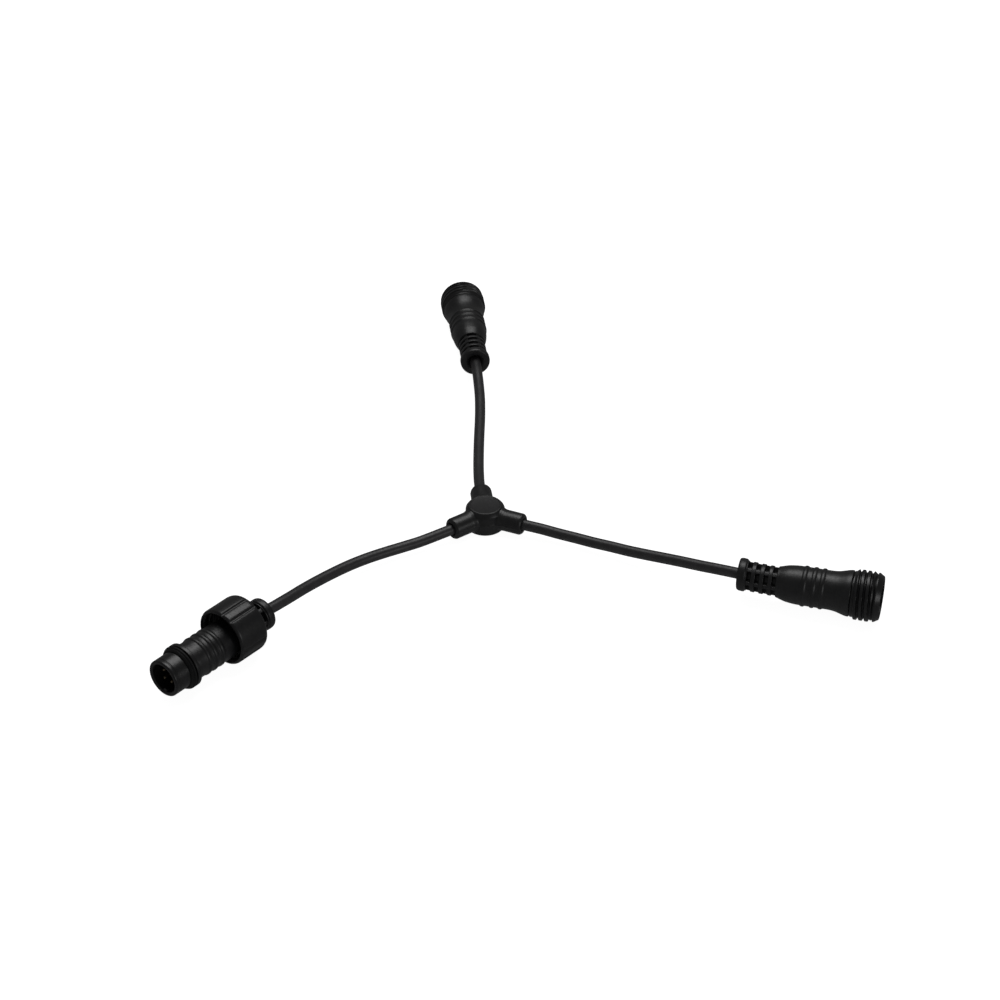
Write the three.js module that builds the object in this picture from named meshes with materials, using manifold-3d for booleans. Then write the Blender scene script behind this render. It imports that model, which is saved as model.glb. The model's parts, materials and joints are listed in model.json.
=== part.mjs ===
// Three-way splitter lead for waterproof low-voltage lighting: one four-pin plug with a loose
// coupling nut, two four-way sockets with a threaded collar, and a moulded Y junction that joins
// their three short cables.
// Frame: millimetres, +Z up, origin under the centre of the junction, on the surface the lead lies on.
import * as THREE from "three";
import { mergeVertices } from "three/addons/utils/BufferGeometryUtils.js";
import Module from "manifold-3d";

const wasm = await Module();
wasm.setup();

// ---------------------------------------------------------------- driving dimensions (mm)
const ROUND = 20; // facets round a large turned piece
const SMALL_ROUND = 8; // facets round a pin, contact or splice
const WIRE_SIDES = 6;
const CABLE_SIDES = 8;
const GAP = 0.3; // between neighbouring pieces

const CABLE_RADIUS = 2.0;
const CABLE_STEPS = 14;
const CABLE_BORE = CABLE_RADIUS + GAP;
const CABLE_BURIED = 10; // length of cable inside each connector
const CORE_RADIUS = 0.5; // insulated conductor
const CORE_OFFSET = 0.62; // of each conductor from the cable's centre, both ways
const CORE_STEPS = 4;

const THREAD_RADIUS = 8.85;
const THREAD_DEPTH = 0.8;
const THREAD_PITCH = 2.0;

const SPIGOT_RADIUS = 6.7;
const SPIGOT_BORE = 5.25;
const SPIGOT_DEPTH = 8.5; // of the cavity that the pins stand in
const POLE_RADIUS = 2.4; // circle that the four pins stand on
const PIN_RADIUS = 0.6;
const PIN_TIP = 2.0; // behind the plug's front face

const BODY_RADIUS = 6.85; // grip of the sockets
const PLUG_BODY_RADIUS = 6.7;
const RIB_RISE = 0.3;
const PLUG_RIBS = [15.9, 18.9, 21.9];
const SOCKET_RIBS = [20.6, 23.6, 26.9];
const STEM_RADIUS = 5.9; // hard insert inside the soft body
const STEM_END = 18;
const TAIL_END = STEM_END + 3; // of pins and contacts, where the conductors begin
const HOLLOW_RADIUS = 5.2; // room for the conductors behind the insert

const PLUG_LENGTH = 47.8;
const PLUG_HEIGHT = 9.2; // axis above the floor
const PLUG_HEADING = 223.1; // degrees, direction that the pins point to
const PLUG_FRONT = [-117.0, -87.8];
const SEAL_RADIUS = 8.0;
const SEAL_FRONT = 6.4;
const SEAL_LENGTH = 2.1;
const FLANGE_FRONT = 8.8;
const FLANGE_BACK = 10.4;

const NUT_RADIUS = 10.4;
const NUT_LENGTH = 12.6;
const NUT_FRONT = 27.0; // from the plug's front face, nut slid back
const NUT_THREAD_CREST = 8.6;
const NUT_THREAD_ROOT = 9.2;
const NUT_SHOULDER = 2.2; // thickness of its rear wall
const NUT_HOLE = 7.9;
const NUT_FLUTES = [6.75, 28.75]; // degrees from straight up, a pair in each quarter turn
const FLUTE_HALF = 4; // degrees
const FLUTE_DEPTH = 0.45;
const WASHER_BORE = 7.85;
const WASHER_RADIUS = 8.7;
const WASHER_THICKNESS = 0.8;

const SOCKET_LENGTH = 50.5;
const SOCKET_CAVITY = 6.9;
const SOCKET_CAVITY_DEPTH = 9.0;
const SOCKET_INSERT_RADIUS = 5.0;
const SOCKET_THREAD_END = 10.1;
const SOCKET_THREAD = [2.4, 9.7]; // where the thread itself starts and stops
const LIP_RADIUS = 7.6; // of the front face, inside a conical lip
const LIP_LENGTH = 1.7;
const LIP_RIM = 8.65;
const CONTACT_RADIUS = 0.7;
const CONTACT_BORE = 0.42;
const CONTACT_FRONT = 2.3;
const SOCKET_A_FRONT = [130.1, -70.9];
const SOCKET_A_HEADING = -21.5;
const SOCKET_A_BEND = 8; // degrees, sideways bend of its strain relief at the cable
const SOCKET_BEND_START = 32;
const SOCKET_B_FRONT = [6.3, 148.0];
const SOCKET_B_HEADING = 90.6;

const JUNCTION_RADIUS = 7.15;
const JUNCTION_HEIGHT = 9.2;
const OUTLET_RADIUS = 3.95;
const OUTLET_REACH = 15.2;
const OUTLET_HEIGHT = 4.5; // axis of the three outlets
const OUTLET_ANGLES = { plug: 210, socket_a: 330, socket_b: 90 };
const CABLE_END_IN_JUNCTION = 9.6; // from the junction's centre
const SPLICE_RADIUS = 1.7;
const SPLICE_THICKNESS = 0.9;
const SPLICE_PITCH = 1.5;
const HUB_RADIUS = 5.4;
const HUB_ROOM = [0.8, 8.2]; // heights of the hollow that the hub fills
const FAN_RADIUS = 3.15; // room inside each outlet where the conductors fan out

// Cable routes from the junction outward, by hand: the last two points lie inside the connector.
const ROUTES = {
  plug: [
    [-8.3, -4.8, 4.5], [-13.2, -7.6, 4.5], [-19.0, -10.3, 4.2], [-25.0, -12.8, 3.8],
    [-31.6, -15.3, 3.7], [-38.2, -18.1, 3.9], [-44.6, -21.4, 4.3], [-50.9, -25.4, 4.8],
    [-57.0, -30.1, 5.4], [-62.8, -35.3, 6.2], [-68.2, -40.7, 7.1], [-73.0, -46.0, 8.0],
    [-77.5, -50.8, 8.8], [-82.1, -55.1, 9.2], [-89.2, -61.8, 9.2],
  ],
  socket_a: [
    [8.3, -4.8, 4.5], [13.2, -7.6, 4.5], [19.2, -10.3, 4.1], [25.2, -13.4, 3.7],
    [31.1, -16.8, 3.7], [36.9, -20.4, 3.8], [42.7, -24.1, 4.2], [48.4, -27.9, 4.6],
    [54.1, -31.6, 5.2], [59.8, -35.3, 5.9], [65.6, -39.1, 6.6], [71.3, -43.0, 7.3],
    [76.9, -46.8, 8.1], [83.6, -51.2, 8.85], [88.0, -53.6, 8.85], [92.4, -55.8, 8.85],
  ],
  socket_b: [
    [0, 9.6, 4.5], [0, 15.2, 4.5], [0.1, 21.0, 4.1], [0.6, 28.0, 3.7],
    [1.4, 36.0, 3.7], [2.4, 44.5, 3.9], [3.5, 53.0, 4.5], [4.6, 61.0, 5.1],
    [5.5, 68.5, 5.8], [6.2, 76.0, 6.6], [6.6, 84.0, 7.5], [6.8, 91.5, 8.5],
    [6.8, 97.5, 8.85], [6.7, 107.5, 8.85],
  ],
};

const MATERIALS = {
  soft: { color: 0x17171a, roughness: 0.55, metalness: 0 },
  hard: { color: 0x121214, roughness: 0.42, metalness: 0 },
  jacket: { color: 0x161618, roughness: 0.5, metalness: 0 },
  seal: { color: 0x0c0c0d, roughness: 0.7, metalness: 0 },
  washer: { color: 0x1a1a1c, roughness: 0.4, metalness: 0 },
  brass: { color: 0xc9a252, roughness: 0.3, metalness: 1 },
  tin: { color: 0xb8b8ba, roughness: 0.35, metalness: 1 },
  hub: { color: 0xd9d6cc, roughness: 0.6, metalness: 0 },
};
const CORE_COLOURS = [0x8c1c1c, 0x1f1f22, 0x1e4f8c, 0x2f7a3a];

// ---------------------------------------------------------------- solids
const lathe = (outline, facets = ROUND) =>
  new THREE.LatheGeometry(outline.map(([z, r]) => new THREE.Vector2(r, z)), facets).rotateX(Math.PI / 2);

// A turned ring: its outline, as [station, radius] pairs, closes on itself.
const ring = (outline, facets) => lathe([...outline, outline[0]], facets);

function solid(geometry) {
  const bare = new THREE.BufferGeometry().setAttribute("position", geometry.getAttribute("position"));
  bare.setIndex(geometry.index);
  const merged = mergeVertices(bare, 1e-4);
  const corners = merged.index.array;
  const triangles = [];
  for (let i = 0; i < corners.length; i += 3) {
    const [a, b, c] = corners.slice(i, i + 3);
    if (a !== b && b !== c && c !== a) triangles.push(a, b, c);
  }
  const build = (order) =>
    new wasm.Manifold(new wasm.Mesh({
      numProp: 3,
      vertProperties: merged.attributes.position.array,
      triVerts: new Uint32Array(order),
    }));
  const made = build(triangles);
  return made.volume() > 0 ? made : build(triangles.reverse());
}

function geometryOf(manifold) {
  const mesh = manifold.getMesh();
  const geometry = new THREE.BufferGeometry();
  geometry.setAttribute("position", new THREE.BufferAttribute(mesh.vertProperties, 3));
  geometry.setIndex(new THREE.BufferAttribute(mesh.triVerts, 1));
  return geometry;
}

function join(...solids) {
  return solids.reduce((whole, piece) => whole.add(piece));
}

function cut(whole, ...tools) {
  return tools.reduce((left, tool) => left.subtract(tool), whole);
}

// A helical thread worked into the part of a turned piece that lies between two radii.
function addThread(geometry, { from, to, inner, outer, depth }) {
  const position = geometry.getAttribute("position");
  for (let i = 0; i < position.count; i += 1) {
    const [x, y, z] = [position.getX(i), position.getY(i), position.getZ(i)];
    const radius = Math.hypot(x, y);
    const runOut = Math.min((z - from) / (THREAD_PITCH / 2), (to - z) / (THREAD_PITCH / 2), 1);
    if (runOut > 0 && radius > inner && radius < outer) {
      const phase = z / THREAD_PITCH - Math.atan2(y, x) / (2 * Math.PI);
      const lift = depth * runOut * (0.5 - 0.5 * Math.cos(2 * Math.PI * phase));
      position.setXY(i, x * (1 + lift / radius), y * (1 + lift / radius));
    }
  }
  return geometry;
}

// Stations a quarter of a pitch apart, at one radius, for addThread to work on.
function threadStations(from, to, radius) {
  const count = Math.round((to - from) / (THREAD_PITCH / 4));
  return Array.from({ length: count + 1 }, (_, i) => [from + ((to - from) * i) / count, radius]);
}

// Bends the rear of a turned piece sideways, towards +Y, so that its end slopes by the angle.
function bendRear(geometry, start, end, degrees) {
  const rate = Math.tan(THREE.MathUtils.degToRad(degrees)) / (2 * (end - start));
  const position = geometry.getAttribute("position");
  for (let i = 0; i < position.count; i += 1) {
    const beyond = Math.max(position.getZ(i) - start, 0);
    position.setY(i, position.getY(i) + rate * beyond * beyond);
  }
  return geometry;
}

function disc(radius, sides) {
  const shape = new THREE.Shape();
  shape.absarc(0, 0, radius, 0, 2 * Math.PI);
  return new THREE.Shape(shape.getPoints(sides).slice(0, sides));
}

function tube(points, radius, sides, steps) {
  const path = new THREE.CatmullRomCurve3(points.map((p) => new THREE.Vector3(...p)));
  return new THREE.ExtrudeGeometry(disc(radius, sides), { steps, extrudePath: path });
}

// The soft strain relief: stations from its rear end, with a collar and three rings between slots.
function reliefOutline(length) {
  return [
    [21.6, 6.85], [18.8, 6.6], [17.3, 6.4], [15.9, 6.0], [14.4, 5.5], [13.3, 5.0],
    [12.5, 5.3], [11.3, 5.3], [10.3, 4.9], [9.4, 5.3], [8.2, 5.3], [7.2, 4.9],
    [6.3, 5.3], [4.6, 5.3], [3.6, 4.9], [2.9, 5.8], [0.7, 5.75], [0, 5.2],
  ].map(([fromRear, radius]) => [length - fromRear, radius]);
}

// ---------------------------------------------------------------- scene helpers
const part = new THREE.Group();

function add(group, name, manifoldOrGeometry, look) {
  const geometry = manifoldOrGeometry.isBufferGeometry
    ? geometryOf(solid(manifoldOrGeometry))
    : geometryOf(manifoldOrGeometry);
  const mesh = new THREE.Mesh(geometry, new THREE.MeshStandardMaterial(look));
  mesh.name = name;
  group.add(mesh);
  return mesh;
}

// A connector's own frame: +Z runs from its front face back to the cable, +X points up.
function connectorGroup([x, y], height, heading) {
  const angle = THREE.MathUtils.degToRad(heading);
  const back = new THREE.Vector3(-Math.cos(angle), -Math.sin(angle), 0);
  const up = new THREE.Vector3(0, 0, 1);
  const group = new THREE.Group();
  const basis = new THREE.Matrix4().makeBasis(up, new THREE.Vector3().crossVectors(back, up), back);
  group.quaternion.setFromRotationMatrix(basis);
  group.position.set(x, y, height);
  part.add(group);
  return group;
}

// The four poles of a connector, and the four conductors of a cable, in the same order.
const POLES = [45, 135, 225, 315].map((degrees) => {
  const angle = THREE.MathUtils.degToRad(degrees);
  return { x: Math.sign(Math.cos(angle)), y: Math.sign(Math.sin(angle)), angle };
});
const poleAt = ({ angle }) => [POLE_RADIUS * Math.cos(angle), POLE_RADIUS * Math.sin(angle)];

function boresAtPoles(radius, from, to) {
  return POLES.map((pole) => {
    const [x, y] = poleAt(pole);
    return solid(lathe([[from, 0], [from, radius], [to, radius], [to, 0]], SMALL_ROUND).translate(x, y, 0));
  });
}

// Conductors from the cable's end forward to the tails of the pins or contacts.
function addConductors(group, name, cableEnd, tailEnd) {
  POLES.forEach((pole, i) => {
    const [x, y] = poleAt(pole);
    const [cx, cy] = [pole.x * CORE_OFFSET, pole.y * CORE_OFFSET];
    const run = cableEnd - tailEnd;
    const points = [
      [cx, cy, cableEnd], [cx, cy, cableEnd - run * 0.3], [x, y, tailEnd + run * 0.25], [x, y, tailEnd],
    ];
    const look = { color: CORE_COLOURS[i], roughness: 0.5, metalness: 0 };
    add(group, `${name}_conductor_${i + 1}`, tube(points, CORE_RADIUS, WIRE_SIDES, CORE_STEPS), look);
  });
}

// ---------------------------------------------------------------- plug
function plugInsert() {
  const turned = solid(ring([
    [0, 5.75], [0, 6.3], [0.5, SPIGOT_RADIUS], [FLANGE_FRONT, SPIGOT_RADIUS],
    [FLANGE_FRONT, SEAL_RADIUS], [FLANGE_BACK, SEAL_RADIUS], [FLANGE_BACK, STEM_RADIUS],
    [STEM_END, STEM_RADIUS], [STEM_END, 0.9], [SPIGOT_DEPTH, 0.9], [SPIGOT_DEPTH, SPIGOT_BORE],
    [0.5, SPIGOT_BORE],
  ]));
  const middle = solid(lathe([
    [SPIGOT_DEPTH, 0], [SPIGOT_DEPTH, 1.2], [STEM_END, 1.2], [STEM_END, 0],
  ], SMALL_ROUND));
  const keyLength = SPIGOT_DEPTH - 0.6;
  const key = solid(new THREE.BoxGeometry(0.9, 1.6, keyLength)
    .translate(-SPIGOT_BORE + 0.25, 0, SPIGOT_DEPTH + 0.1 - keyLength / 2));
  return cut(join(turned, middle, key), ...boresAtPoles(PIN_RADIUS + GAP, 7, STEM_END + 1));
}

function plugPin() {
  return lathe([
    [PIN_TIP, 0], [PIN_TIP + 0.1, 0.35], [PIN_TIP + 0.6, PIN_RADIUS], [TAIL_END, PIN_RADIUS], [TAIL_END, 0],
  ], SMALL_ROUND);
}

function grip(outer, from, to, ribs) {
  const outline = [[from, outer]];
  const crest = outer + RIB_RISE;
  for (const at of ribs) {
    outline.push([at - 1.0, outer], [at - 0.45, crest], [at + 0.45, crest], [at + 1.0, outer]);
  }
  return [...outline, [to, outer]];
}

// The hollow inside a soft body: a seat for the hard stem, room for conductors, the cable's bore.
function bodyHollow(front, length) {
  return [
    [length, CABLE_BORE], [length - CABLE_BURIED - 3, CABLE_BORE], [length - 20, HOLLOW_RADIUS],
    [STEM_END + GAP, HOLLOW_RADIUS], [STEM_END + GAP, STEM_RADIUS + GAP], [front, STEM_RADIUS + GAP],
  ];
}

function plugBody() {
  const front = FLANGE_BACK + GAP;
  return ring([
    ...grip(PLUG_BODY_RADIUS, front, 25.6, PLUG_RIBS),
    ...reliefOutline(PLUG_LENGTH),
    ...bodyHollow(front, PLUG_LENGTH),
  ]);
}

// A wedge-shaped seal: its front face slopes back from the spigot to its rim.
function sealRing() {
  const [front, back, bore] = [SEAL_FRONT, SEAL_FRONT + SEAL_LENGTH, SPIGOT_RADIUS + GAP];
  return ring([
    [front, bore], [front + 0.2, bore + 0.3], [front + 1.2, SEAL_RADIUS], [back - 0.3, SEAL_RADIUS],
    [back, 7.7], [back, bore],
  ]);
}

function addPlug() {
  const group = connectorGroup(PLUG_FRONT, PLUG_HEIGHT, PLUG_HEADING);
  add(group, "plug_insert", plugInsert(), MATERIALS.hard);
  add(group, "plug_body", plugBody(), MATERIALS.soft);
  add(group, "plug_seal_ring", sealRing(), MATERIALS.seal);
  POLES.forEach((pole, i) => {
    const [x, y] = poleAt(pole);
    add(group, `plug_pin_${i + 1}`, plugPin().translate(x, y, 0), MATERIALS.brass);
  });
  addConductors(group, "plug", PLUG_LENGTH - CABLE_BURIED - GAP, TAIL_END + GAP);
  return group;
}

// ---------------------------------------------------------------- coupling nut
// It hangs loose on the plug's body and rests on the floor, so its axis is a little higher.
function nutShape() {
  const half = THREE.MathUtils.degToRad(FLUTE_HALF);
  const corners = [];
  for (let quarter = 0; quarter < 4; quarter += 1) {
    const [first, second] = NUT_FLUTES.map((degrees) => THREE.MathUtils.degToRad(degrees + 90 * quarter));
    for (const flute of [first, second]) {
      corners.push([NUT_RADIUS, flute - half], [NUT_RADIUS - FLUTE_DEPTH, flute], [NUT_RADIUS, flute + half]);
    }
    const land = first + Math.PI / 2 - second - 2 * half;
    for (const part of [0.25, 0.5, 0.75]) corners.push([NUT_RADIUS, second + half + land * part]);
  }
  return new THREE.Shape(corners.map(([radius, angle]) =>
    new THREE.Vector2(radius * Math.cos(angle), radius * Math.sin(angle))));
}

function couplingNut() {
  const barrel = solid(new THREE.ExtrudeGeometry(nutShape(), { depth: NUT_LENGTH, bevelEnabled: false }));
  const envelope = solid(lathe([
    [0, 0], [0, 9.9], [0.5, 10.6], [NUT_LENGTH - 1.6, 10.6], [NUT_LENGTH - 0.5, 9.9], [NUT_LENGTH, 9.2],
    [NUT_LENGTH, 0],
  ], 48));
  const wall = NUT_LENGTH - NUT_SHOULDER;
  const bore = addThread(lathe([
    [-1, 0], [-1, 9.4], [0.6, 9.4], [1.4, NUT_THREAD_CREST], ...threadStations(1.5, wall - 2, NUT_THREAD_CREST),
    [wall - 1.6, 9.0], [wall, 9.0], [wall, NUT_HOLE], [NUT_LENGTH + 1, NUT_HOLE], [NUT_LENGTH + 1, 0],
  ]), { from: 1.5, to: wall - 2, inner: 8.5, outer: 8.7, depth: NUT_THREAD_ROOT - NUT_THREAD_CREST });
  return cut(barrel.intersect(envelope), solid(bore));
}

function slipWasher() {
  const back = NUT_LENGTH - NUT_SHOULDER - GAP;
  const front = back - WASHER_THICKNESS;
  return ring([[front, WASHER_BORE], [front, WASHER_RADIUS], [back, WASHER_RADIUS], [back, WASHER_BORE]]);
}

function addNut(plug) {
  const lift = NUT_RADIUS - PLUG_HEIGHT;
  const group = new THREE.Group();
  group.position.set(lift, 0, NUT_FRONT);
  plug.add(group);
  add(group, "coupling_nut", couplingNut(), MATERIALS.hard);
  add(group, "nut_slip_washer", slipWasher(), MATERIALS.washer);
}

// ---------------------------------------------------------------- sockets
function threadCollar() {
  const root = THREAD_RADIUS - THREAD_DEPTH;
  const [from, to] = SOCKET_THREAD;
  const collar = ring([
    [0, SOCKET_CAVITY + 0.2], [0, LIP_RADIUS], [LIP_LENGTH, LIP_RIM], [LIP_LENGTH + 0.3, LIP_RIM],
    [from - 0.1, root], ...threadStations(from, to, root), [to + 0.2, root], [SOCKET_THREAD_END, root],
    [SOCKET_THREAD_END, STEM_RADIUS], [STEM_END, STEM_RADIUS], [STEM_END, SOCKET_INSERT_RADIUS + GAP],
    [SOCKET_CAVITY_DEPTH, SOCKET_INSERT_RADIUS + GAP], [SOCKET_CAVITY_DEPTH, SOCKET_CAVITY],
    [0.2, SOCKET_CAVITY],
  ]);
  return addThread(collar, { from, to, inner: root - 0.01, outer: root + 0.01, depth: THREAD_DEPTH });
}

function socketInsert() {
  const turned = solid(lathe([
    [2.0, 0], [2.0, 4.7], [2.3, SOCKET_INSERT_RADIUS], [STEM_END + 1, SOCKET_INSERT_RADIUS], [STEM_END + 1, 0],
  ]));
  const keyway = solid(new THREE.BoxGeometry(1.6, 2.4, 8).translate(-SOCKET_INSERT_RADIUS, 0, 4));
  return cut(turned, keyway, ...boresAtPoles(CONTACT_RADIUS + GAP, 0, STEM_END + 2));
}

function socketContact() {
  return lathe([
    [10, 0], [10, CONTACT_BORE], [CONTACT_FRONT, CONTACT_BORE], [CONTACT_FRONT, CONTACT_RADIUS],
    [TAIL_END, CONTACT_RADIUS], [TAIL_END, 0],
  ], SMALL_ROUND);
}

function faceSeal() {
  const back = SOCKET_CAVITY_DEPTH - GAP;
  const [bore, rim] = [SOCKET_INSERT_RADIUS + GAP, SOCKET_CAVITY - GAP];
  return ring([[back - 0.8, bore], [back - 0.8, rim], [back, rim], [back, bore]]);
}

function socketBody(bend) {
  const front = SOCKET_THREAD_END + GAP;
  const outline = [
    [front, 8.0], [11.2, 8.2], [12.3, 7.95], [13.7, 7.55], [15.2, 7.15],
    ...grip(BODY_RADIUS, 16.8, 28.4, SOCKET_RIBS),
    ...reliefOutline(SOCKET_LENGTH),
    ...bodyHollow(front, SOCKET_LENGTH),
  ];
  return bendRear(ring(outline), SOCKET_BEND_START, SOCKET_LENGTH, bend);
}

function addSocket(name, front, heading, bend) {
  const group = connectorGroup(front, THREAD_RADIUS, heading);
  add(group, `${name}_thread_collar`, threadCollar(), MATERIALS.hard);
  add(group, `${name}_insert`, socketInsert(), MATERIALS.hard);
  add(group, `${name}_face_seal`, faceSeal(), MATERIALS.seal);
  add(group, `${name}_body`, socketBody(bend), MATERIALS.soft);
  POLES.forEach((pole, i) => {
    const [x, y] = poleAt(pole);
    add(group, `${name}_contact_${i + 1}`, socketContact().translate(x, y, 0), MATERIALS.brass);
  });
  addConductors(group, name, SOCKET_LENGTH - CABLE_BURIED - GAP, TAIL_END + GAP);
}

// ---------------------------------------------------------------- junction
const outletDirection = (degrees) => {
  const angle = THREE.MathUtils.degToRad(degrees);
  return [Math.cos(angle), Math.sin(angle)];
};

// A turned piece laid along one outlet's axis.
function alongOutlet(outline, degrees, facets) {
  return solid(lathe(outline, facets)
    .rotateY(Math.PI / 2)
    .rotateZ(THREE.MathUtils.degToRad(degrees))
    .translate(0, 0, OUTLET_HEIGHT));
}

function junctionBody() {
  const drum = solid(lathe([
    [0, 0], [0, 6.7], [0.5, JUNCTION_RADIUS], [7.75, JUNCTION_RADIUS], [8.8, 6.35], [JUNCTION_HEIGHT, 5.7],
    [JUNCTION_HEIGHT, 0],
  ]));
  const outlet = [
    [0, 0], [0, OUTLET_RADIUS], [OUTLET_REACH - 0.8, OUTLET_RADIUS], [OUTLET_REACH, 3.3], [OUTLET_REACH, 0],
  ];
  const hollow = solid(lathe([
    [HUB_ROOM[0], 0], [HUB_ROOM[0], HUB_RADIUS + GAP], [HUB_ROOM[1], HUB_RADIUS + GAP], [HUB_ROOM[1], 0],
  ]));
  const bore = [
    [0, 0], [0, FAN_RADIUS], [6.8, FAN_RADIUS], [9.0, CABLE_BORE], [OUTLET_REACH + 1, CABLE_BORE],
    [OUTLET_REACH + 1, 0],
  ];
  const angles = Object.values(OUTLET_ANGLES);
  const outside = join(drum, ...angles.map((degrees) => alongOutlet(outlet, degrees, 16)));
  return cut(outside, hollow, ...angles.map((degrees) => alongOutlet(bore, degrees, 12)));
}

const spliceHeight = (i) => OUTLET_HEIGHT + (i - 1.5) * SPLICE_PITCH;

const splice = (height, radius, thickness) =>
  lathe([
    [height - thickness / 2, 0], [height - thickness / 2, radius], [height + thickness / 2, radius],
    [height + thickness / 2, 0],
  ], 12);

// One conductor from a cable's end to its splice at the middle, fanned out in height on the way.
function junctionConductor(degrees, i, radius, reach) {
  const [dx, dy] = outletDirection(degrees);
  const place = (along, side, height) => [along * dx - side * dy, along * dy + side * dx, height];
  const side = (i % 2 ? -1 : 1) * CORE_OFFSET;
  const height = OUTLET_HEIGHT + Math.sign(i - 1.5) * CORE_OFFSET;
  const target = spliceHeight(i);
  return tube([
    place(reach, side, height), place(reach - 0.5, side, height), place(6.3, side, target),
    place(4.4, side, target), place(SPLICE_RADIUS + GAP + 0.1, 0, target),
  ], radius, WIRE_SIDES, CORE_STEPS);
}

function junctionHub() {
  const [from, to] = [HUB_ROOM[0] + GAP, HUB_ROOM[1] - GAP];
  const block = solid(lathe([[from, 0], [from, HUB_RADIUS], [to, HUB_RADIUS], [to, 0]]));
  const room = [0, 1, 2, 3].map((i) =>
    solid(splice(spliceHeight(i), SPLICE_RADIUS + GAP, SPLICE_PITCH + 0.02)));
  const slots = Object.values(OUTLET_ANGLES).map((degrees) => {
    const height = 4 * SPLICE_PITCH + 2 * GAP - 0.2;
    const slot = new THREE.BoxGeometry(HUB_RADIUS + 1, 2.6, height).translate((HUB_RADIUS + 1) / 2, 0, 0);
    return solid(slot.rotateZ(THREE.MathUtils.degToRad(degrees)).translate(0, 0, OUTLET_HEIGHT));
  });
  return cut(block, ...room, ...slots);
}

function addJunction() {
  add(part, "junction_body", junctionBody(), MATERIALS.soft);
  add(part, "junction_hub", junctionHub(), MATERIALS.hub);
  for (let i = 0; i < 4; i += 1) {
    add(part, `splice_${i + 1}`, splice(spliceHeight(i), SPLICE_RADIUS, SPLICE_THICKNESS), MATERIALS.tin);
    for (const [name, degrees] of Object.entries(OUTLET_ANGLES)) {
      const run = junctionConductor(degrees, i, CORE_RADIUS, CABLE_END_IN_JUNCTION - GAP);
      const look = { color: CORE_COLOURS[i], roughness: 0.5, metalness: 0 };
      add(part, `junction_conductor_${name}_${i + 1}`, run, look);
    }
  }
}

// ---------------------------------------------------------------- the lead
function addCables() {
  for (const [name, route] of Object.entries(ROUTES)) {
    add(part, `cable_${name}`, tube(route, CABLE_RADIUS, CABLE_SIDES, CABLE_STEPS), MATERIALS.jacket);
  }
}

addNut(addPlug());
addSocket("socket_a", SOCKET_A_FRONT, SOCKET_A_HEADING, SOCKET_A_BEND);
addSocket("socket_b", SOCKET_B_FRONT, SOCKET_B_HEADING, 0);
addJunction();
addCables();

export default part;
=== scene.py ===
"""Looks for a three-way splitter lead: a four-pin plug with a loose coupling nut, two threaded four-way
sockets, and the moulded Y junction that joins their three short cables.

Shapes are worked out in millimetres in each connector's own frame: +Z from its front face back to the
cable, +X up. They become metres when they are placed in the frame of the CAD model."""

import json
import math

import bmesh
import bpy
from mathutils import Matrix, Vector


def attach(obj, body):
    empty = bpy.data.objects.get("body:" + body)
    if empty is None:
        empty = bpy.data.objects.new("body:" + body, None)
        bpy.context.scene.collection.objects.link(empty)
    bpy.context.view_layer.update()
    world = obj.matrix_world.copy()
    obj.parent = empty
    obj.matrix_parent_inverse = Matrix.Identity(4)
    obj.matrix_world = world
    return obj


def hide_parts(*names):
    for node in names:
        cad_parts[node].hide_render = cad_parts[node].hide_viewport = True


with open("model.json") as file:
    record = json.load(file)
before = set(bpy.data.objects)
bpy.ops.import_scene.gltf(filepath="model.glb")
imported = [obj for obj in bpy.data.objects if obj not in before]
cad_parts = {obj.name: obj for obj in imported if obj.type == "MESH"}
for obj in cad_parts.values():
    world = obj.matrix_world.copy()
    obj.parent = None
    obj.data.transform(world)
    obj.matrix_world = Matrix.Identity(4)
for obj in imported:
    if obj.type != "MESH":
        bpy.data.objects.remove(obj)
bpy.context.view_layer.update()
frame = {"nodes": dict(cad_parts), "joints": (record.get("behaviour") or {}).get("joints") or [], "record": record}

# ---------------------------------------------------------------- dimensions (mm), the same as the CAD's
MM = 0.001
GAP = 0.3

CABLE_RADIUS = 2.0
CABLE_BORE = CABLE_RADIUS + GAP
CABLE_BURIED = 10.0
POLE_RADIUS = 2.4
BODY_RADIUS = 6.85
PLUG_BODY_RADIUS = 6.7
RIB_RISE = 0.38
STEM_RADIUS = 5.9
STEM_END = 18.0
TAIL_END = STEM_END + 3.0
HOLLOW_RADIUS = 5.2

PLUG_LENGTH = 47.8
PLUG_RISE = 6.0  # of its face's mount above the axis
PLUG_RIBS = (15.9, 18.9, 21.9)
SPIGOT_RADIUS = 6.7
SPIGOT_BORE = 5.25
SPIGOT_DEPTH = 8.5
SEAL_FRONT = 6.4
SEAL_BACK = 8.5
SEAL_RADIUS = 8.0
FLANGE_FRONT = 8.8
FLANGE_BACK = 10.4
KEY_HALF = 9.0  # degrees
KEY_RISE = 0.7
PIN_RADIUS = 0.6
PIN_TIP = 2.0

NUT_RADIUS = 10.4
NUT_LENGTH = 12.6
NUT_THREAD_CREST = 8.6
NUT_THREAD_ROOT = 9.2
NUT_HOLE = 7.9
NUT_SHOULDER = 2.2
FLUTE_PAIR = (6.75, 28.75)  # degrees from straight up, repeated in each quarter turn
NUT_FLUTES = [90.0 * quarter + at for quarter in range(4) for at in FLUTE_PAIR]
FLUTE_HALF = 4.6  # degrees
FLUTE_DEPTH = 0.5
WASHER_BORE = 7.85
WASHER_RADIUS = 8.7
WASHER_THICKNESS = 0.8

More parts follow.
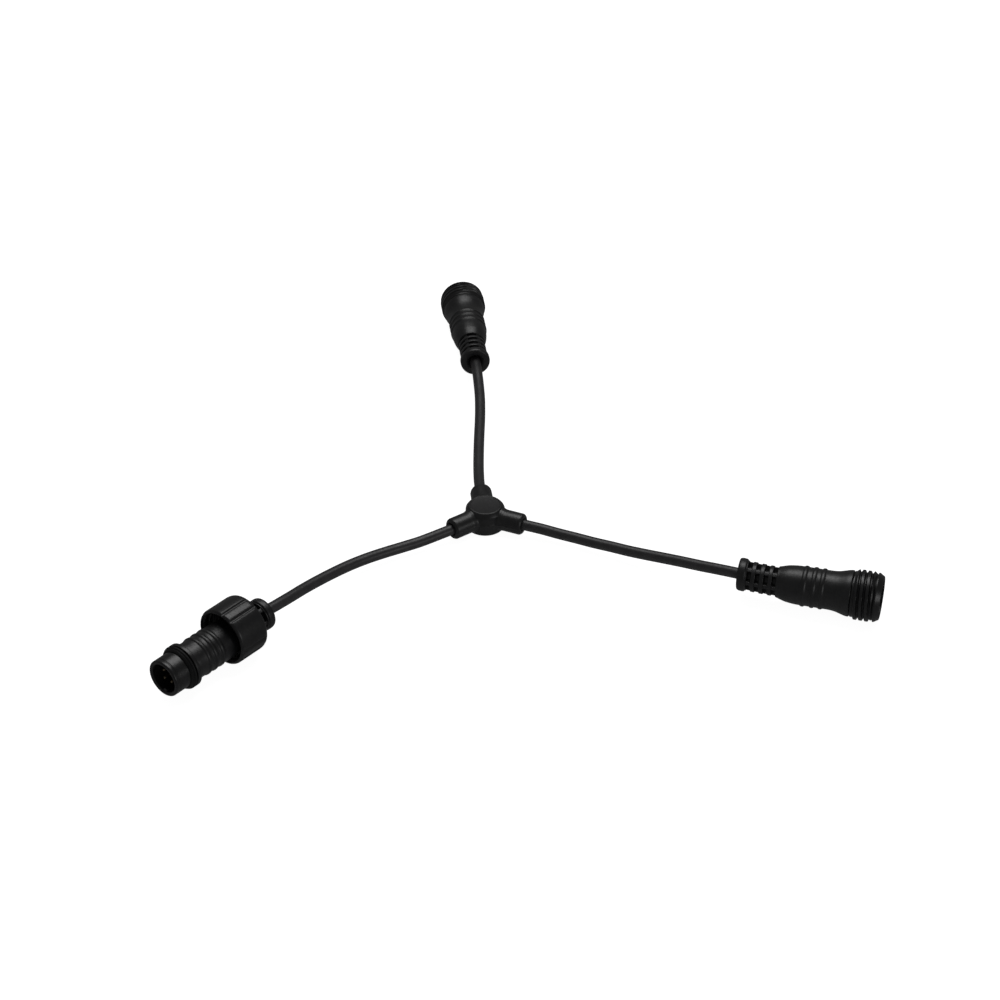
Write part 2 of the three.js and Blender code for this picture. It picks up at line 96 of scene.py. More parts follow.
SOCKET_LENGTH = 50.5
SOCKET_RISE = 7.35
SOCKET_RIBS = (20.6, 23.6, 26.9)
SOCKET_CAVITY = 6.9
SOCKET_CAVITY_DEPTH = 9.0
SOCKET_INSERT_RADIUS = 5.0
SOCKET_THREAD_END = 10.1
SOCKET_THREAD = (2.4, 9.7)
LIP_RADIUS = 7.6
LIP_LENGTH = 1.7
LIP_RIM = 8.65
THREAD_RADIUS = 8.85
THREAD_DEPTH = 0.8
THREAD_PITCH = 2.0
CONTACT_RADIUS = 0.7
CONTACT_BORE = 0.42
CONTACT_FRONT = 2.3
SOCKET_A_BEND = 8.0
SOCKET_BEND_START = 32.0

JUNCTION_RADIUS = 7.15
JUNCTION_HEIGHT = 9.2
OUTLET_RADIUS = 3.95
OUTLET_REACH = 15.2
OUTLET_HEIGHT = 4.5
OUTLET_ANGLES = {"plug": 210, "socket_a": 330, "socket_b": 90}
HUB_RADIUS = 5.4
FAN_RADIUS = 3.15

# strain relief, with stations measured from its rear end
RELIEF_SLOTS = (13.2, 10.3, 7.25, 4.2)
RELIEF_RING = 5.3
RELIEF_BAR = 4.95
RELIEF_FLOOR = 3.35
SLOT_HALF = 0.78
RELIEF_BARS = 6
BAR_HALF = 8.5  # degrees

ROUTES = {
    "plug": (
        (-8.3, -4.8, 4.5), (-13.2, -7.6, 4.5), (-19.0, -10.3, 4.2), (-25.0, -12.8, 3.8),
        (-31.6, -15.3, 3.7), (-38.2, -18.1, 3.9), (-44.6, -21.4, 4.3), (-50.9, -25.4, 4.8),
        (-57.0, -30.1, 5.4), (-62.8, -35.3, 6.2), (-68.2, -40.7, 7.1), (-73.0, -46.0, 8.0),
        (-77.5, -50.8, 8.8), (-82.1, -55.1, 9.2), (-89.2, -61.8, 9.2),
    ),
    "socket_a": (
        (8.3, -4.8, 4.5), (13.2, -7.6, 4.5), (19.2, -10.3, 4.1), (25.2, -13.4, 3.7),
        (31.1, -16.8, 3.7), (36.9, -20.4, 3.8), (42.7, -24.1, 4.2), (48.4, -27.9, 4.6),
        (54.1, -31.6, 5.2), (59.8, -35.3, 5.9), (65.6, -39.1, 6.6), (71.3, -43.0, 7.3),
        (76.9, -46.8, 8.1), (83.6, -51.2, 8.85), (88.0, -53.6, 8.85), (92.4, -55.8, 8.85),
    ),
    "socket_b": (
        (0.0, 9.6, 4.5), (0.0, 15.2, 4.5), (0.1, 21.0, 4.1), (0.6, 28.0, 3.7),
        (1.4, 36.0, 3.7), (2.4, 44.5, 3.9), (3.5, 53.0, 4.5), (4.6, 61.0, 5.1),
        (5.5, 68.5, 5.8), (6.2, 76.0, 6.6), (6.6, 84.0, 7.5), (6.8, 91.5, 8.5),
        (6.8, 97.5, 8.85), (6.7, 107.5, 8.85),
    ),
}

# ---------------------------------------------------------------- camera
CAMERA_AT = Vector((-0.0810, -0.7587, 0.5464))
CAMERA_AIM = Vector((0.00715, 0.01526, 0.0))


def add_camera():
    data = bpy.data.cameras.new("camera")
    data.sensor_width = 36.0
    data.lens = 92.5
    data.clip_start = 0.01
    data.clip_end = 20.0
    camera = bpy.data.objects.new("camera", data)
    camera.location = CAMERA_AT
    camera.rotation_euler = (CAMERA_AIM - CAMERA_AT).to_track_quat("-Z", "Y").to_euler()
    bpy.context.scene.collection.objects.link(camera)
    bpy.context.scene.camera = camera


add_camera()


# ---------------------------------------------------------------- materials
CLOUD_SIZE = 3.6  # mm
GLOSS_SPREAD = 0.1
GRAIN_HEIGHT = 0.0001  # m


def moulded(name, dark, pale, rough, grain, relief=0.12, metallic=0.0, level=0.5, along=(1, 1, 1)):
    """Moulded plastic, rubber or plain metal: two close tones mixed by cloudy noise, and a fine grain in
    roughness and relief. grain is its size in mm; along stretches the noise by (x, y, z)."""
    material = bpy.data.materials.new(name)
    material.use_nodes = True
    nodes, links = material.node_tree.nodes, material.node_tree.links
    shader = nodes["Principled BSDF"]
    shader.inputs["Metallic"].default_value = metallic
    shader.inputs["Specular IOR Level"].default_value = level
    place = nodes.new("ShaderNodeTexCoord")
    stretch = nodes.new("ShaderNodeMapping")
    stretch.inputs["Scale"].default_value = along
    links.new(place.outputs["Object"], stretch.inputs["Vector"])

    def noise(size, detail, roughness=0.55):
        node = nodes.new("ShaderNodeTexNoise")
        node.inputs["Scale"].default_value = 1 / (size * MM)
        node.inputs["Detail"].default_value = detail
        node.inputs["Roughness"].default_value = roughness
        links.new(stretch.outputs["Vector"], node.inputs["Vector"])
        return node

    clouds, speck, fine = noise(CLOUD_SIZE, 4), noise(grain * 5, 3), noise(grain, 3, 0.65)
    tones = nodes.new("ShaderNodeValToRGB")
    tones.color_ramp.elements[0].position = 0.3
    tones.color_ramp.elements[0].color = (*dark, 1)
    tones.color_ramp.elements[1].position = 0.72
    tones.color_ramp.elements[1].color = (*pale, 1)
    links.new(clouds.outputs["Fac"], tones.inputs["Fac"])
    links.new(tones.outputs["Color"], shader.inputs["Base Color"])
    gloss = nodes.new("ShaderNodeMapRange")
    gloss.inputs["From Min"].default_value = 0.3
    gloss.inputs["From Max"].default_value = 0.7
    gloss.inputs["To Min"].default_value = rough - GLOSS_SPREAD / 2
    gloss.inputs["To Max"].default_value = rough + GLOSS_SPREAD / 2
    links.new(speck.outputs["Fac"], gloss.inputs["Value"])
    links.new(gloss.outputs["Result"], shader.inputs["Roughness"])
    bump = nodes.new("ShaderNodeBump")
    bump.inputs["Strength"].default_value = relief
    bump.inputs["Distance"].default_value = GRAIN_HEIGHT
    links.new(fine.outputs["Fac"], bump.inputs["Height"])
    links.new(bump.outputs["Normal"], shader.inputs["Normal"])
    return material


SOFT = moulded("soft_moulding", (0.0042, 0.0042, 0.0046), (0.0078, 0.0078, 0.0083), 0.37, 0.16, relief=0.22)
HUSK = moulded("junction_moulding", (0.0042, 0.0042, 0.0046), (0.0078, 0.0078, 0.0083), 0.36, 0.18,
               relief=0.2)
HARD = moulded("hard_moulding", (0.0035, 0.0035, 0.0038), (0.006, 0.006, 0.0064), 0.32, 0.12, relief=0.12)
NUT = moulded("nut_moulding", (0.0035, 0.0035, 0.0038), (0.0065, 0.0065, 0.007), 0.34, 0.13, relief=0.15)
# Seal rubber, darker in tone and weaker in specular level than the other mouldings: partly the rubber's own matt
# black, partly painted shade for the shaded floor that its forward-down front cone faces.
SEAL = moulded("seal_rubber", (0.0016, 0.0016, 0.0018), (0.0032, 0.0032, 0.0035), 0.55, 0.1, relief=0.25,
               level=0.25)
JACKET = moulded("cable_jacket", (0.013, 0.0125, 0.0135), (0.022, 0.021, 0.0225), 0.42, 0.2, relief=0.16)
WASHER = moulded("washer_acetal", (0.009, 0.009, 0.0095), (0.014, 0.014, 0.0145), 0.36, 0.1, relief=0.1)
# Brass pins and contacts: the metal's own warm colour, darkened well below bright brass as painted shade for the
# dim bores that they sit in.
BRASS = moulded("brass", (0.20, 0.165, 0.115), (0.31, 0.25, 0.17), 0.36, 0.08, relief=0.08, metallic=1.0,
                along=(1, 1, 6))
TIN = moulded("tinned_copper", (0.42, 0.41, 0.40), (0.58, 0.57, 0.55), 0.3, 0.06, relief=0.12, metallic=1.0)
HUB = moulded("hub_polymer", (0.50, 0.48, 0.43), (0.62, 0.60, 0.55), 0.5, 0.12, relief=0.1)
CORES = [
    moulded("core_red", (0.20, 0.012, 0.010), (0.30, 0.022, 0.018), 0.42, 0.1, relief=0.1),
    moulded("core_black", (0.008, 0.008, 0.009), (0.016, 0.016, 0.018), 0.42, 0.1, relief=0.1),
    moulded("core_blue", (0.010, 0.045, 0.20), (0.018, 0.075, 0.30), 0.42, 0.1, relief=0.1),
    moulded("core_green", (0.012, 0.13, 0.03), (0.022, 0.20, 0.05), 0.42, 0.1, relief=0.1),
]


# ---------------------------------------------------------------- mesh tools
def ease(low, high, value):
    """0 below low, 1 above high, smooth between."""
    t = min(max((value - low) / (high - low), 0.0), 1.0)
    return t * t * (3 - 2 * t)


def even_angles(count):
    return [2 * math.pi * i / count for i in range(count)]


def rounded(corners, steps=4):
    """A closed outline of (station, radius) corners. A third number is how far a corner is cut back
    along both its edges to be turned into an arc."""
    points = []
    for i, corner in enumerate(corners):
        here = Vector(corner[:2])
        if len(corner) < 3:
            points.append(tuple(here))
            continue
        before = Vector(corners[i - 1][:2]) - here
        after = Vector(corners[(i + 1) % len(corners)][:2]) - here
        first = here + before.normalized() * min(corner[2], before.length * 0.5)
        last = here + after.normalized() * min(corner[2], after.length * 0.5)
        for k in range(steps + 1):
            t = k / steps
            points.append(tuple(first * (1 - t) ** 2 + here * 2 * t * (1 - t) + last * t * t))
    return points


def curve_through(points, steps=4):
    """Catmull-Rom points through an open row of (station, radius) pairs."""
    ends = [points[0], *points, points[-1]]
    out = []
    for a, b, c, d in zip(ends, ends[1:], ends[2:], ends[3:]):
        for k in range(steps):
            t = k / steps
            out.append(tuple(
                0.5 * (
                    2 * q + (r - p) * t + (2 * p - 5 * q + 4 * r - s) * t * t
                    + (3 * q - p - 3 * r + s) * t ** 3
                )
                for p, q, r, s in zip(a, b, c, d)
            ))
    return [*out, points[-1]]


def turned(outline, angles, warp=None, centre=(0.0, 0.0)):
    """Vertices and faces of a closed outline turned round +Z. warp(station, radius, angle) gives the
    station and radius that a vertex moves to."""
    vertices, faces, rows = [], [], []
    for station, radius in outline:
        row = []
        for angle in angles if radius > 1e-6 else angles[:1]:
            s, r = warp(station, radius, angle) if warp and radius > 1e-6 else (station, radius)
            row.append(len(vertices))
            vertices.append((centre[0] + r * math.cos(angle), centre[1] + r * math.sin(angle), s))
        rows.append(row)
    for a, b in zip(rows, rows[1:] + rows[:1]):
        if len(a) == len(b) == 1:
            continue
        for i in range(len(angles)):
            j = (i + 1) % len(angles)
            corners = (a[i % len(a)], a[j % len(a)], b[j % len(b)], b[i % len(b)])
            faces.append(list(dict.fromkeys(corners)))
    return vertices, faces


def make(name, shells, place, material, crease=40):
    """One mesh object from one or more (vertices, faces) shells, placed by a matrix in metres."""
    mesh = bpy.data.meshes.new(f"{name}_shape")
    vertices, faces = [], []
    for shell_vertices, shell_faces in shells:
        start = len(vertices)
        vertices += [place @ (Vector(v) * MM) for v in shell_vertices]
        faces += [[start + i for i in face] for face in shell_faces]
    mesh.from_pydata(vertices, [], faces)
    work = bmesh.new()
    work.from_mesh(mesh)
    bmesh.ops.recalc_face_normals(work, faces=work.faces)
    work.to_mesh(mesh)
    work.free()
    shade(mesh, crease)
    mesh.materials.append(material)
    obj = bpy.data.objects.new(f"{name}_shape", mesh)
    bpy.context.scene.collection.objects.link(obj)
    return obj


def shade(mesh, crease):
    mesh.polygons.foreach_set("use_smooth", [True] * len(mesh.polygons))
    mesh.set_sharp_from_angle(angle=math.radians(crease))


def boolean(obj, operation, tools, crease=40):
    """Joins or cuts obj with each tool, applied at once, and removes the tools."""
    for tool in tools:
        modifier = obj.modifiers.new("cut", "BOOLEAN")
        modifier.operation = operation
        modifier.solver = "EXACT"
        modifier.object = tool
    graph = bpy.context.evaluated_depsgraph_get()
    result = bpy.data.meshes.new_from_object(obj.evaluated_get(graph))
    obj.modifiers.clear()
    obj.data = result
    for tool in tools:
        bpy.data.objects.remove(tool)
    work = bmesh.new()
    work.from_mesh(result)
    bmesh.ops.remove_doubles(work, verts=work.verts, dist=1e-6)
    bmesh.ops.dissolve_degenerate(work, edges=work.edges, dist=1e-6)
    work.to_mesh(result)
    work.free()
    shade(result, crease)
    return obj


def finish(piece, slot, *nodes, body="root"):
    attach(piece, body)
    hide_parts(*nodes)


# ---------------------------------------------------------------- frames of the connectors
MOUNTS = {mount["name"]: mount for mount in frame["record"]["mounts"]}
UP = Vector((0, 0, 1))


def frame_at(origin, back):
    axes = Matrix((UP, back.cross(UP), back)).transposed()
    return Matrix.Translation(origin) @ axes.to_4x4()


def connector_frame(mount, rise):
    back = -Vector(MOUNTS[mount]["axis"]).normalized()
    return frame_at(Vector(MOUNTS[mount]["pos_m"]) - UP * rise * MM, back)


PLUG = connector_frame("plug_face", PLUG_RISE)
SOCKETS = {
    "socket_a": (connector_frame("socket_a_face", SOCKET_RISE), SOCKET_A_BEND),
    "socket_b": (connector_frame("socket_b_face", SOCKET_RISE), 0.0),
}
SPIN = next(joint for joint in frame["joints"] if joint["name"] == "nut_spin")
NUT_BACK = -Vector(SPIN["axis"]).normalized()
NUT_FRAME = frame_at(Vector(SPIN["pos_m"]) - NUT_BACK * NUT_LENGTH / 2 * MM, NUT_BACK)

POLES = [
    (POLE_RADIUS * math.cos(math.radians(a)), POLE_RADIUS * math.sin(math.radians(a)))
    for a in (45, 135, 225, 315)
]


# ---------------------------------------------------------------- soft bodies
def relief_angles(first_bar):
    """Angles round a soft body, dense at the edges of the strain relief's bars."""
    angles = []
    pitch = 360 / RELIEF_BARS
    for k in range(RELIEF_BARS):
        middle = first_bar + k * pitch
        half = BAR_HALF
        angles += [middle + d for d in (-half - 1.8, -half - 0.2, -half + 0.8, -half / 2, 0)]
        angles += [middle + d for d in (half / 2, half - 0.8, half + 0.2, half + 1.8)]
        start, end = half + 1.8, pitch - half - 1.8
        angles += [middle + start + (end - start) * i / 9 for i in range(1, 9)]
    return sorted(math.radians(a % 360) for a in angles)


def ribs_outline(ribs, radius):
    points = []
    for at in ribs:
        points += [
            (at - 1.0, radius), (at - 0.82, radius + 0.03), (at - 0.62, radius + RIB_RISE * 0.55),
            (at - 0.38, radius + RIB_RISE * 0.9), (at, radius + RIB_RISE),
            (at + 0.38, radius + RIB_RISE * 0.9), (at + 0.62, radius + RIB_RISE * 0.55),
            (at + 0.82, radius + 0.03), (at + 1.0, radius),
        ]
    return points


def relief_outline(length):
    """From the flare behind the grip to the collar's rear face and the cable's bore."""
    points = curve_through([
        (21.6, BODY_RADIUS), (20.2, 6.76), (18.8, 6.6), (17.3, 6.36), (15.9, 5.98), (14.9, 5.66),
        (14.15, 5.46),
    ])
    for at in RELIEF_SLOTS:
        front = 5.42 if at == RELIEF_SLOTS[0] else RELIEF_RING
        points += [
            (at + SLOT_HALF + 0.18, front), (at + SLOT_HALF + 0.07, front - 0.05),
            (at + SLOT_HALF, front - 0.16), (at + SLOT_HALF - 0.03, RELIEF_BAR),
            (at + SLOT_HALF - 0.08, RELIEF_FLOOR + 0.2), (at + SLOT_HALF - 0.25, RELIEF_FLOOR),
            (at - SLOT_HALF + 0.25, RELIEF_FLOOR), (at - SLOT_HALF + 0.08, RELIEF_FLOOR + 0.2),
            (at - SLOT_HALF + 0.03, RELIEF_BAR), (at - SLOT_HALF, RELIEF_RING - 0.16),
            (at - SLOT_HALF - 0.07, RELIEF_RING - 0.05), (at - SLOT_HALF - 0.18, RELIEF_RING),
        ]
    collar = rounded([
        (3.1, RELIEF_RING), (3.0, 5.35, 0.1), (2.7, 5.8, 0.3), (0.9, 5.82, 0.4), (0.15, 5.55, 0.35),
        (0.0, 4.9, 0.3), (0.35, 3.5, 0.3), (1.0, 2.75, 0.3), (1.6, CABLE_BORE),
    ], 3)
    points += [p for p in collar if p[0] < 3.11]
    return [(length - fromRear, radius) for fromRear, radius in points]


def body_hollow(front, length):
    return [
        (length - CABLE_BURIED - 3, CABLE_BORE), (length - 20, HOLLOW_RADIUS),
        (STEM_END + GAP, HOLLOW_RADIUS), (STEM_END + GAP, STEM_RADIUS + GAP), (front, STEM_RADIUS + GAP),
    ]


def soft_body(name, head, ribs, length, front, place, first_bar, bend=0.0):
    ribbed = ribs_outline(ribs, head[-1][1])
    outline = [*head, *ribbed, *relief_outline(length), *body_hollow(front, length)]
    pitch = math.radians(360 / RELIEF_BARS)
    slots = [(length - at - SLOT_HALF, length - at + SLOT_HALF) for at in RELIEF_SLOTS]
    rate = math.tan(math.radians(bend)) / (2 * (length - SOCKET_BEND_START))

    def warp(station, radius, angle):
        if 3.0 < radius < RELIEF_BAR + 0.01 and any(a - 1e-6 <= station <= b + 1e-6 for a, b in slots):
            off = abs((angle - math.radians(first_bar) + pitch / 2) % pitch - pitch / 2)
            edge = math.degrees(off) - BAR_HALF
            bar = RELIEF_BAR - 0.22 * ease(-0.9, 0.3, edge)
            radius = max(radius, bar) if edge < 0.3 else radius
        return station, radius

    vertices, faces = turned(outline, relief_angles(first_bar), warp)
    vertices = [(x, y + rate * max(z - SOCKET_BEND_START, 0) ** 2, z) for x, y, z in vertices]
    piece = make(name, [(vertices, faces)], place, SOFT)
    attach(piece, "root")
    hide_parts(name)
    return piece


# ---------------------------------------------------------------- threads
def thread_lift(station, angle, start, end, depth):
    """Height of a rounded trapezoidal helical thread that runs out over half a pitch at both ends."""
    run_out = min((station - start) / (THREAD_PITCH / 2), (end - station) / (THREAD_PITCH / 2), 1)
    phase = (station / THREAD_PITCH - angle / (2 * math.pi)) % 1
    return depth * max(run_out, 0) * ease(0.93, 0.42, abs(phase - 0.5) * 2) if run_out > 0 else 0.0


def thread_stations(start, end, radius):
    count = round((end - start) / (THREAD_PITCH / 14))
    return [(start + (end - start) * i / count, radius) for i in range(count + 1)]


# ---------------------------------------------------------------- plug
def add_plug():
    key_half = math.radians(KEY_HALF)

    def spigot_warp(station, radius, angle):
        """A keying rib along the lowest line of the bore."""
        if 0.6 < station < SPIGOT_DEPTH + 0.01 and SPIGOT_BORE - 0.01 < radius < SPIGOT_BORE + 0.01:
            off = abs(angle % (2 * math.pi) - math.pi)
            radius -= KEY_RISE * ease(key_half, key_half * 0.72, off)
        return station, radius

    angles = sorted({round(a, 6) for a in even_angles(96)} | {
        round(math.pi + side * key_half * k, 6) for side in (-1, 1) for k in (0.7, 0.78, 0.86, 0.94, 1.02)
    })
    insert = make("plug_insert", [turned(rounded([
        (0, 5.75, 0.15), (0, 6.3, 0.15), (0.42, SPIGOT_RADIUS, 0.25), (1.45, SPIGOT_RADIUS, 0.1),
        (1.6, SPIGOT_RADIUS - 0.14, 0.08), (1.85, SPIGOT_RADIUS - 0.14, 0.08), (2.0, SPIGOT_RADIUS, 0.1),
        (FLANGE_FRONT, SPIGOT_RADIUS, 0.1), (FLANGE_FRONT, SEAL_RADIUS, 0.25),
        (FLANGE_BACK, SEAL_RADIUS, 0.25), (FLANGE_BACK, STEM_RADIUS), (STEM_END, STEM_RADIUS),
        (STEM_END, 0), (SPIGOT_DEPTH, 0),
        (SPIGOT_DEPTH, SPIGOT_BORE, 0.3), (0.7, SPIGOT_BORE), (0.45, SPIGOT_BORE, 0.15),
    ]), angles, spigot_warp)], PLUG, HARD)
    finish(insert, "hard_black", "plug_insert")

    seal = make("plug_seal_ring", [turned(rounded([
        (SEAL_FRONT, SPIGOT_RADIUS + 0.03), (SEAL_FRONT, 7.05, 0.15), (SEAL_FRONT + 0.75, 7.62, 0.15),
        (SEAL_FRONT + 0.9, 7.5, 0.1), (SEAL_FRONT + 1.3, SEAL_RADIUS, 0.35),
        (SEAL_BACK - 0.25, SEAL_RADIUS, 0.25), (SEAL_BACK, 7.6, 0.2), (SEAL_BACK, SPIGOT_RADIUS + 0.03),
    ]), even_angles(96))], PLUG, SEAL)
    finish(seal, "seal_black", "plug_seal_ring")

    for i, pole in enumerate(POLES):
        pin = make(f"plug_pin_{i + 1}", [turned(rounded([
            (PIN_TIP, 0), (PIN_TIP, 0.28, 0.2), (PIN_TIP + 0.5, PIN_RADIUS, 0.3),
            (TAIL_END, PIN_RADIUS, 0.15), (TAIL_END, 0),
        ]), even_angles(28), centre=pole)], PLUG, BRASS)
        finish(pin, "brass", f"plug_pin_{i + 1}")

    front = FLANGE_BACK + GAP
    head = rounded([
        (front, STEM_RADIUS + GAP), (front, PLUG_BODY_RADIUS, 0.25), (front + 2, PLUG_BODY_RADIUS),
    ], 3)[1:]
    soft_body("plug_body", head, PLUG_RIBS, PLUG_LENGTH, front, PLUG, 30)


# ---------------------------------------------------------------- coupling nut
def add_nut():
    flutes = [math.radians(a) for a in NUT_FLUTES]
    half = math.radians(FLUTE_HALF)
    wall = NUT_LENGTH - NUT_SHOULDER

    def flute_depth(angle):
        depth = 0.0
        for at in flutes:
            off = abs((angle - at + math.pi) % (2 * math.pi) - math.pi)
            depth = max(depth, FLUTE_DEPTH * (1 - ease(half * 0.12, half, off)))
        return depth

    def warp(station, radius, angle):
        if radius > NUT_THREAD_ROOT + 0.25:
            return station, min(radius, NUT_RADIUS - flute_depth(angle))
        if NUT_THREAD_CREST - 0.01 < radius < NUT_THREAD_CREST + 0.01:
            depth = NUT_THREAD_ROOT - NUT_THREAD_CREST
            return station, radius + thread_lift(station, angle, 1.5, wall - 2, depth)
        return station, radius

    steps = (-1.05, -0.85, -0.65, -0.45, -0.25, -0.1, 0.1, 0.25, 0.45, 0.65, 0.85, 1.05)
    marks = [at + half * k for at in flutes for k in steps]
    spread = [a for a in even_angles(120) if all(
        abs((a - at + math.pi) % (2 * math.pi) - math.pi) > half * 1.2 for at in flutes)]
    angles = sorted((a % (2 * math.pi)) for a in marks + spread)
    outline = rounded([
        (0, 9.4, 0.1), (0, 9.75, 0.12), (0.22, 10.1, 0.15), (0.75, NUT_RADIUS, 0.4),
        (NUT_LENGTH - 1.5, NUT_RADIUS, 0.8), (NUT_LENGTH - 0.35, 9.95, 0.5), (NUT_LENGTH, 9.2, 0.25),
        (NUT_LENGTH, NUT_HOLE, 0.2), (wall, NUT_HOLE, 0.1), (wall, 9.0, 0.1), (wall - 1.6, 9.0),
        (wall - 1.9, NUT_THREAD_CREST),
    ])
    outline += list(reversed(thread_stations(1.5, wall - 2, NUT_THREAD_CREST)))
    outline += [(1.35, NUT_THREAD_CREST + 0.02), (0.6, 9.38), (0.3, 9.4)]
    nut = make("coupling_nut", [turned(outline, angles, warp)], NUT_FRAME, NUT)
    finish(nut, "nut_black", "coupling_nut", body="nut")

    back = wall - GAP
    front = back - WASHER_THICKNESS
    washer = make("nut_slip_washer", [turned(rounded([
        (front, WASHER_BORE, 0.12), (front, WASHER_RADIUS, 0.12), (back, WASHER_RADIUS, 0.12),
        (back, WASHER_BORE, 0.12),
    ], 3), even_angles(72))], NUT_FRAME, WASHER)
    finish(washer, "washer_black", "nut_slip_washer", body="nut_slider")


# ---------------------------------------------------------------- sockets
def add_collar(name, place):
    root = THREAD_RADIUS - THREAD_DEPTH

    def warp(station, radius, angle):
        if root - 0.01 < radius < root + 0.01:
            radius += thread_lift(station, angle, *SOCKET_THREAD, THREAD_DEPTH)
        return station, radius

    outline = rounded([
        (0, SOCKET_CAVITY + 0.2, 0.08), (0, LIP_RADIUS, 0.12), (LIP_LENGTH, LIP_RIM, 0.2),
        (LIP_LENGTH + 0.35, LIP_RIM, 0.12), (SOCKET_THREAD[0] - 0.1, root + 0.02, 0.1),
    ])
    outline += thread_stations(*SOCKET_THREAD, root)
    outline += rounded([
        (SOCKET_THREAD[1] + 0.2, root), (SOCKET_THREAD_END, root, 0.1),
        (SOCKET_THREAD_END, STEM_RADIUS), (STEM_END, STEM_RADIUS),
        (STEM_END, SOCKET_INSERT_RADIUS + 0.05), (SOCKET_CAVITY_DEPTH, SOCKET_INSERT_RADIUS + 0.05),
        (SOCKET_CAVITY_DEPTH, SOCKET_CAVITY, 0.25), (0.2, SOCKET_CAVITY, 0.08),
    ])
    collar = make(f"{name}_thread_collar", [turned(outline, even_angles(120), warp)], place, HARD)
    finish(collar, "hard_black", f"{name}_thread_collar")


def box_shell(low, high):
    corners = [(x, y, z) for z in (low[2], high[2]) for y in (low[1], high[1]) for x in (low[0], high[0])]
    return corners, [(0, 2, 3, 1), (4, 5, 7, 6), (0, 1, 5, 4), (2, 6, 7, 3), (0, 4, 6, 2), (1, 3, 7, 5)]


def add_socket_insert(name, place):
    insert = make(f"{name}_insert", [turned(rounded([
        (2.0, 0), (2.0, SOCKET_INSERT_RADIUS, 0.35), (STEM_END + 1, SOCKET_INSERT_RADIUS, 0.2),
        (STEM_END + 1, 0),
    ]), even_angles(80))], place, HARD)
    tools = [make("tool", [turned([
        (1.5, 0), (1.5, 1.3), (2.0, 1.05), (2.35, CONTACT_RADIUS + 0.12),
        (STEM_END + 2, CONTACT_RADIUS + 0.12),
        (STEM_END + 2, 0),
    ], even_angles(32), centre=pole)], place, HARD) for pole in POLES]
    tools.append(make("tool", [box_shell((-6.5, -1.2, 1.0), (-4.2, 1.2, 8.0))], place, HARD))
    boolean(insert, "DIFFERENCE", tools)
    finish(insert, "hard_black", f"{name}_insert")


def add_socket(name, place, bend, first_bar):
    add_collar(name, place)
    add_socket_insert(name, place)
    back = SOCKET_CAVITY_DEPTH
    seal = make(f"{name}_face_seal", [turned(rounded([
        (back - 0.9, SOCKET_INSERT_RADIUS + GAP, 0.1), (back - 1.1, 5.9, 0.4),
        (back - 0.9, SOCKET_CAVITY - GAP, 0.1), (back - GAP, SOCKET_CAVITY - GAP, 0.1),
        (back - GAP, SOCKET_INSERT_RADIUS + GAP, 0.1),
    ]), even_angles(72))], place, SEAL)
    finish(seal, "seal_black", f"{name}_face_seal")
    for i, pole in enumerate(POLES):
        contact = make(f"{name}_contact_{i + 1}", [turned(rounded([
            (10, 0), (10, CONTACT_BORE), (CONTACT_FRONT + 0.25, CONTACT_BORE, 0.05),
            (CONTACT_FRONT, CONTACT_BORE + 0.12, 0.05), (CONTACT_FRONT, CONTACT_RADIUS, 0.1),
            (TAIL_END, CONTACT_RADIUS, 0.1), (TAIL_END, 0),
        ]), even_angles(28), centre=pole)], place, BRASS)
        finish(contact, "brass", f"{name}_contact_{i + 1}")
    front = SOCKET_THREAD_END + GAP
    head = rounded([
        (front, STEM_RADIUS + GAP), (front, 8.05, 0.2), (front + 0.5, 8.2, 0.3), (12.3, 7.95),
    ], 3)[1:-1]
    head += curve_through([
        (11.6, 8.1), (12.3, 7.95), (13.7, 7.55), (15.2, 7.16), (16.8, 6.93), (18.4, BODY_RADIUS),
    ])
    soft_body(f"{name}_body", head, SOCKET_RIBS, SOCKET_LENGTH, front, place, first_bar, bend)


# ---------------------------------------------------------------- junction
def outlet_frame(degrees):
    """+Z along an outlet, +X up."""
    out = Vector((math.cos(math.radians(degrees)), math.sin(math.radians(degrees)), 0))
    return frame_at(Vector((0, 0, OUTLET_HEIGHT * MM)), out)


